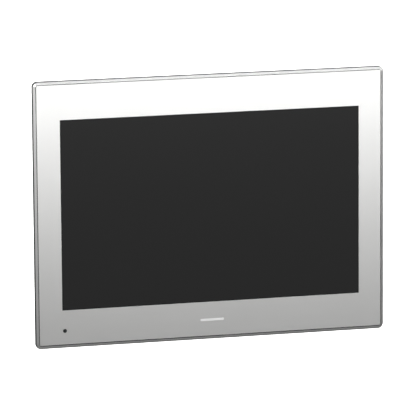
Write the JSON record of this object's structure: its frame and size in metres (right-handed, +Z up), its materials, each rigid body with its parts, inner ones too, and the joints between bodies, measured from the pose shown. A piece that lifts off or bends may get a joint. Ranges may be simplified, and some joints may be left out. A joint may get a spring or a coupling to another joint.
{
  "type": "hmi touch panel",
  "caption": "Flush-front operator touch panel with a silver bezel and wide dark display, sealed into a cabinet door by a gasket and swing-out screw clamps.",
  "frame": {"origin": "middle of the panel cut-out, on the plane where the gasket meets the cabinet panel", "axes": "+X to the right seen from the front, +Y into the cabinet, +Z up"},
  "size_m": [0.3084, 0.058, 0.2304],
  "materials": {
    "silver_paint": "satin silver paint on die-cast aluminium",
    "silver_print": "satin silver print under a clear hard coat",
    "screen_black": "dark anti-glare film",
    "clear_glass": "clear glass",
    "black_foam": "matt closed-cell foam",
    "flex_amber": "amber polyimide flex",
    "gasket_rubber": "matt black rubber",
    "smoked_lens": "smoked clear plastic",
    "circuit_green": "green solder mask",
    "steel_sheet": "zinc-plated sheet steel",
    "screw_steel": "bright zinc-plated steel",
    "display_cell": "polarised display glass, unlit",
    "backlight_white": "white diffuser",
    "ribbon": "flat ribbon cable",
    "raw_aluminium": "bare aluminium",
    "brass_plain": "plain brass",
    "chip_black": "moulded chip package",
    "cover_plastic": "fine-textured dark grey moulding",
    "terminal_green": "green terminal plastic",
    "socket_black": "black connector plastic",
    "socket_metal": "nickel-plated shell",
    "tongue_white": "white connector plastic",
    "contact_gold": "gold-plated contact",
    "label_film": "blank silver label film",
    "clamp_zinc": "zinc die casting"
  },
  "bodies": {
    "unit": {"front_bezel": "silver_paint", "front_sheet": "silver_print", "touch_film": "screen_black", "touch_glass": "clear_glass", "touch_seal": "black_foam", "touch_tail": "flex_amber", "panel_gasket": "gasket_rubber", "led_light_guide": "smoked_lens", "led_board": "circuit_green", "led_screw": "screw_steel", "lcd_cushion": "black_foam", "lcd_frame": "steel_sheet", "lcd_panel": "display_cell", "lcd_backlight": "backlight_white", "lcd_rear_plate": "steel_sheet", "lcd_driver_board": "circuit_green", "lcd_pads": "black_foam", "lcd_cable": "ribbon", "chassis_plate": "raw_aluminium", "chassis_screws": "screw_steel", "board_standoffs": "brass_plain", "main_board": "circuit_green", "board_screws": "screw_steel", "processor": "chip_black", "heat_sink": "raw_aluminium", "memory_chips": "chip_black", "capacitors": "raw_aluminium", "coin_cell": "screw_steel", "cell_holder": "socket_black", "buzzer": "socket_black", "power_header": "terminal_green", "socket_pins": "contact_gold", "usb_shells": "socket_metal", "usb_tongues": "tongue_white", "network_jacks": "socket_black", "jack_contacts": "contact_gold", "serial_shell": "socket_metal", "serial_insert": "socket_black", "serial_screwlocks": "screw_steel", "card_socket": "socket_metal", "rear_cover": "cover_plastic", "electronics_housing": "cover_plastic", "cover_screws": "screw_steel", "clamp_nuts": "brass_plain", "rating_label": "label_film"},
    "plug": {"power_plug": "terminal_green", "plug_screws": "screw_steel"},
    "card_door": {"card_cover": "cover_plastic"},
    "clamp_slide_1": {"clamp_washer_1": "screw_steel"},
    "clamp_swing_1": {"clamp_arm_1": "clamp_zinc"},
    "clamp_turn_1": {"clamp_screw_1": "screw_steel"},
    "clamp_slide_2": {"clamp_washer_2": "screw_steel"},
    "clamp_swing_2": {"clamp_arm_2": "clamp_zinc"},
    "clamp_turn_2": {"clamp_screw_2": "screw_steel"},
    "clamp_slide_3": {"clamp_washer_3": "screw_steel"},
    "clamp_swing_3": {"clamp_arm_3": "clamp_zinc"},
    "clamp_turn_3": {"clamp_screw_3": "screw_steel"},
    "clamp_slide_4": {"clamp_washer_4": "screw_steel"},
    "clamp_swing_4": {"clamp_arm_4": "clamp_zinc"},
    "clamp_turn_4": {"clamp_screw_4": "screw_steel"}
  },
  "joints": [
    {"name": "plug_pull", "type": "slide", "parent": "unit", "child": "plug", "axis": [0, 0, -1], "range_m": [0, 0.012]},
    {"name": "card_door_hinge", "type": "hinge", "parent": "unit", "child": "card_door", "pos_m": [0.1238, 0.0475, 0.038], "axis": [0, 0, 1], "range_deg": [0, 110]},
    {"name": "clamp_advance_1", "type": "slide", "parent": "unit", "child": "clamp_slide_1", "axis": [0, -1, 0], "range_m": [0, 0.0063]},
    {"name": "clamp_arm_swing_1", "type": "hinge", "parent": "clamp_slide_1", "child": "clamp_swing_1", "pos_m": [0.095, 0.0116, 0.1005], "axis": [0, -1, 0], "range_deg": [0, 90]},
    {"name": "clamp_screw_turn_1", "type": "hinge", "parent": "clamp_slide_1", "child": "clamp_turn_1", "pos_m": [0.095, 0.0116, 0.1005], "axis": [0, -1, 0], "range_deg": [0, 3240]},
    {"name": "clamp_advance_2", "type": "slide", "parent": "unit", "child": "clamp_slide_2", "axis": [0, -1, 0], "range_m": [0, 0.0063]},
    {"name": "clamp_arm_swing_2", "type": "hinge", "parent": "clamp_slide_2", "child": "clamp_swing_2", "pos_m": [-0.095, 0.0116, 0.1005], "axis": [0, -1, 0], "range_deg": [0, 90]},
    {"name": "clamp_screw_turn_2", "type": "hinge", "parent": "clamp_slide_2", "child": "clamp_turn_2", "pos_m": [-0.095, 0.0116, 0.1005], "axis": [0, -1, 0], "range_deg": [0, 3240]},
    {"name": "clamp_advance_3", "type": "slide", "parent": "unit", "child": "clamp_slide_3", "axis": [0, -1, 0], "range_m": [0, 0.0063]},
    {"name": "clamp_arm_swing_3", "type": "hinge", "parent": "clamp_slide_3", "child": "clamp_swing_3", "pos_m": [-0.095, 0.0116, -0.1005], "axis": [0, -1, 0], "range_deg": [0, 90]},
    {"name": "clamp_screw_turn_3", "type": "hinge", "parent": "clamp_slide_3", "child": "clamp_turn_3", "pos_m": [-0.095, 0.0116, -0.1005], "axis": [0, -1, 0], "range_deg": [0, 3240]},
    {"name": "clamp_advance_4", "type": "slide", "parent": "unit", "child": "clamp_slide_4", "axis": [0, -1, 0], "range_m": [0, 0.0063]},
    {"name": "clamp_arm_swing_4", "type": "hinge", "parent": "clamp_slide_4", "child": "clamp_swing_4", "pos_m": [0.095, 0.0116, -0.1005], "axis": [0, -1, 0], "range_deg": [0, 90]},
    {"name": "clamp_screw_turn_4", "type": "hinge", "parent": "clamp_slide_4", "child": "clamp_turn_4", "pos_m": [0.095, 0.0116, -0.1005], "axis": [0, -1, 0], "range_deg": [0, 3240]}
  ],
  "couplings": [
    {"joint": "clamp_screw_turn_1", "follows": "clamp_advance_1", "rad_per_m": 8976},
    {"joint": "clamp_screw_turn_2", "follows": "clamp_advance_2", "rad_per_m": 8976},
    {"joint": "clamp_screw_turn_3", "follows": "clamp_advance_3", "rad_per_m": 8976},
    {"joint": "clamp_screw_turn_4", "follows": "clamp_advance_4", "rad_per_m": 8976}
  ]
}
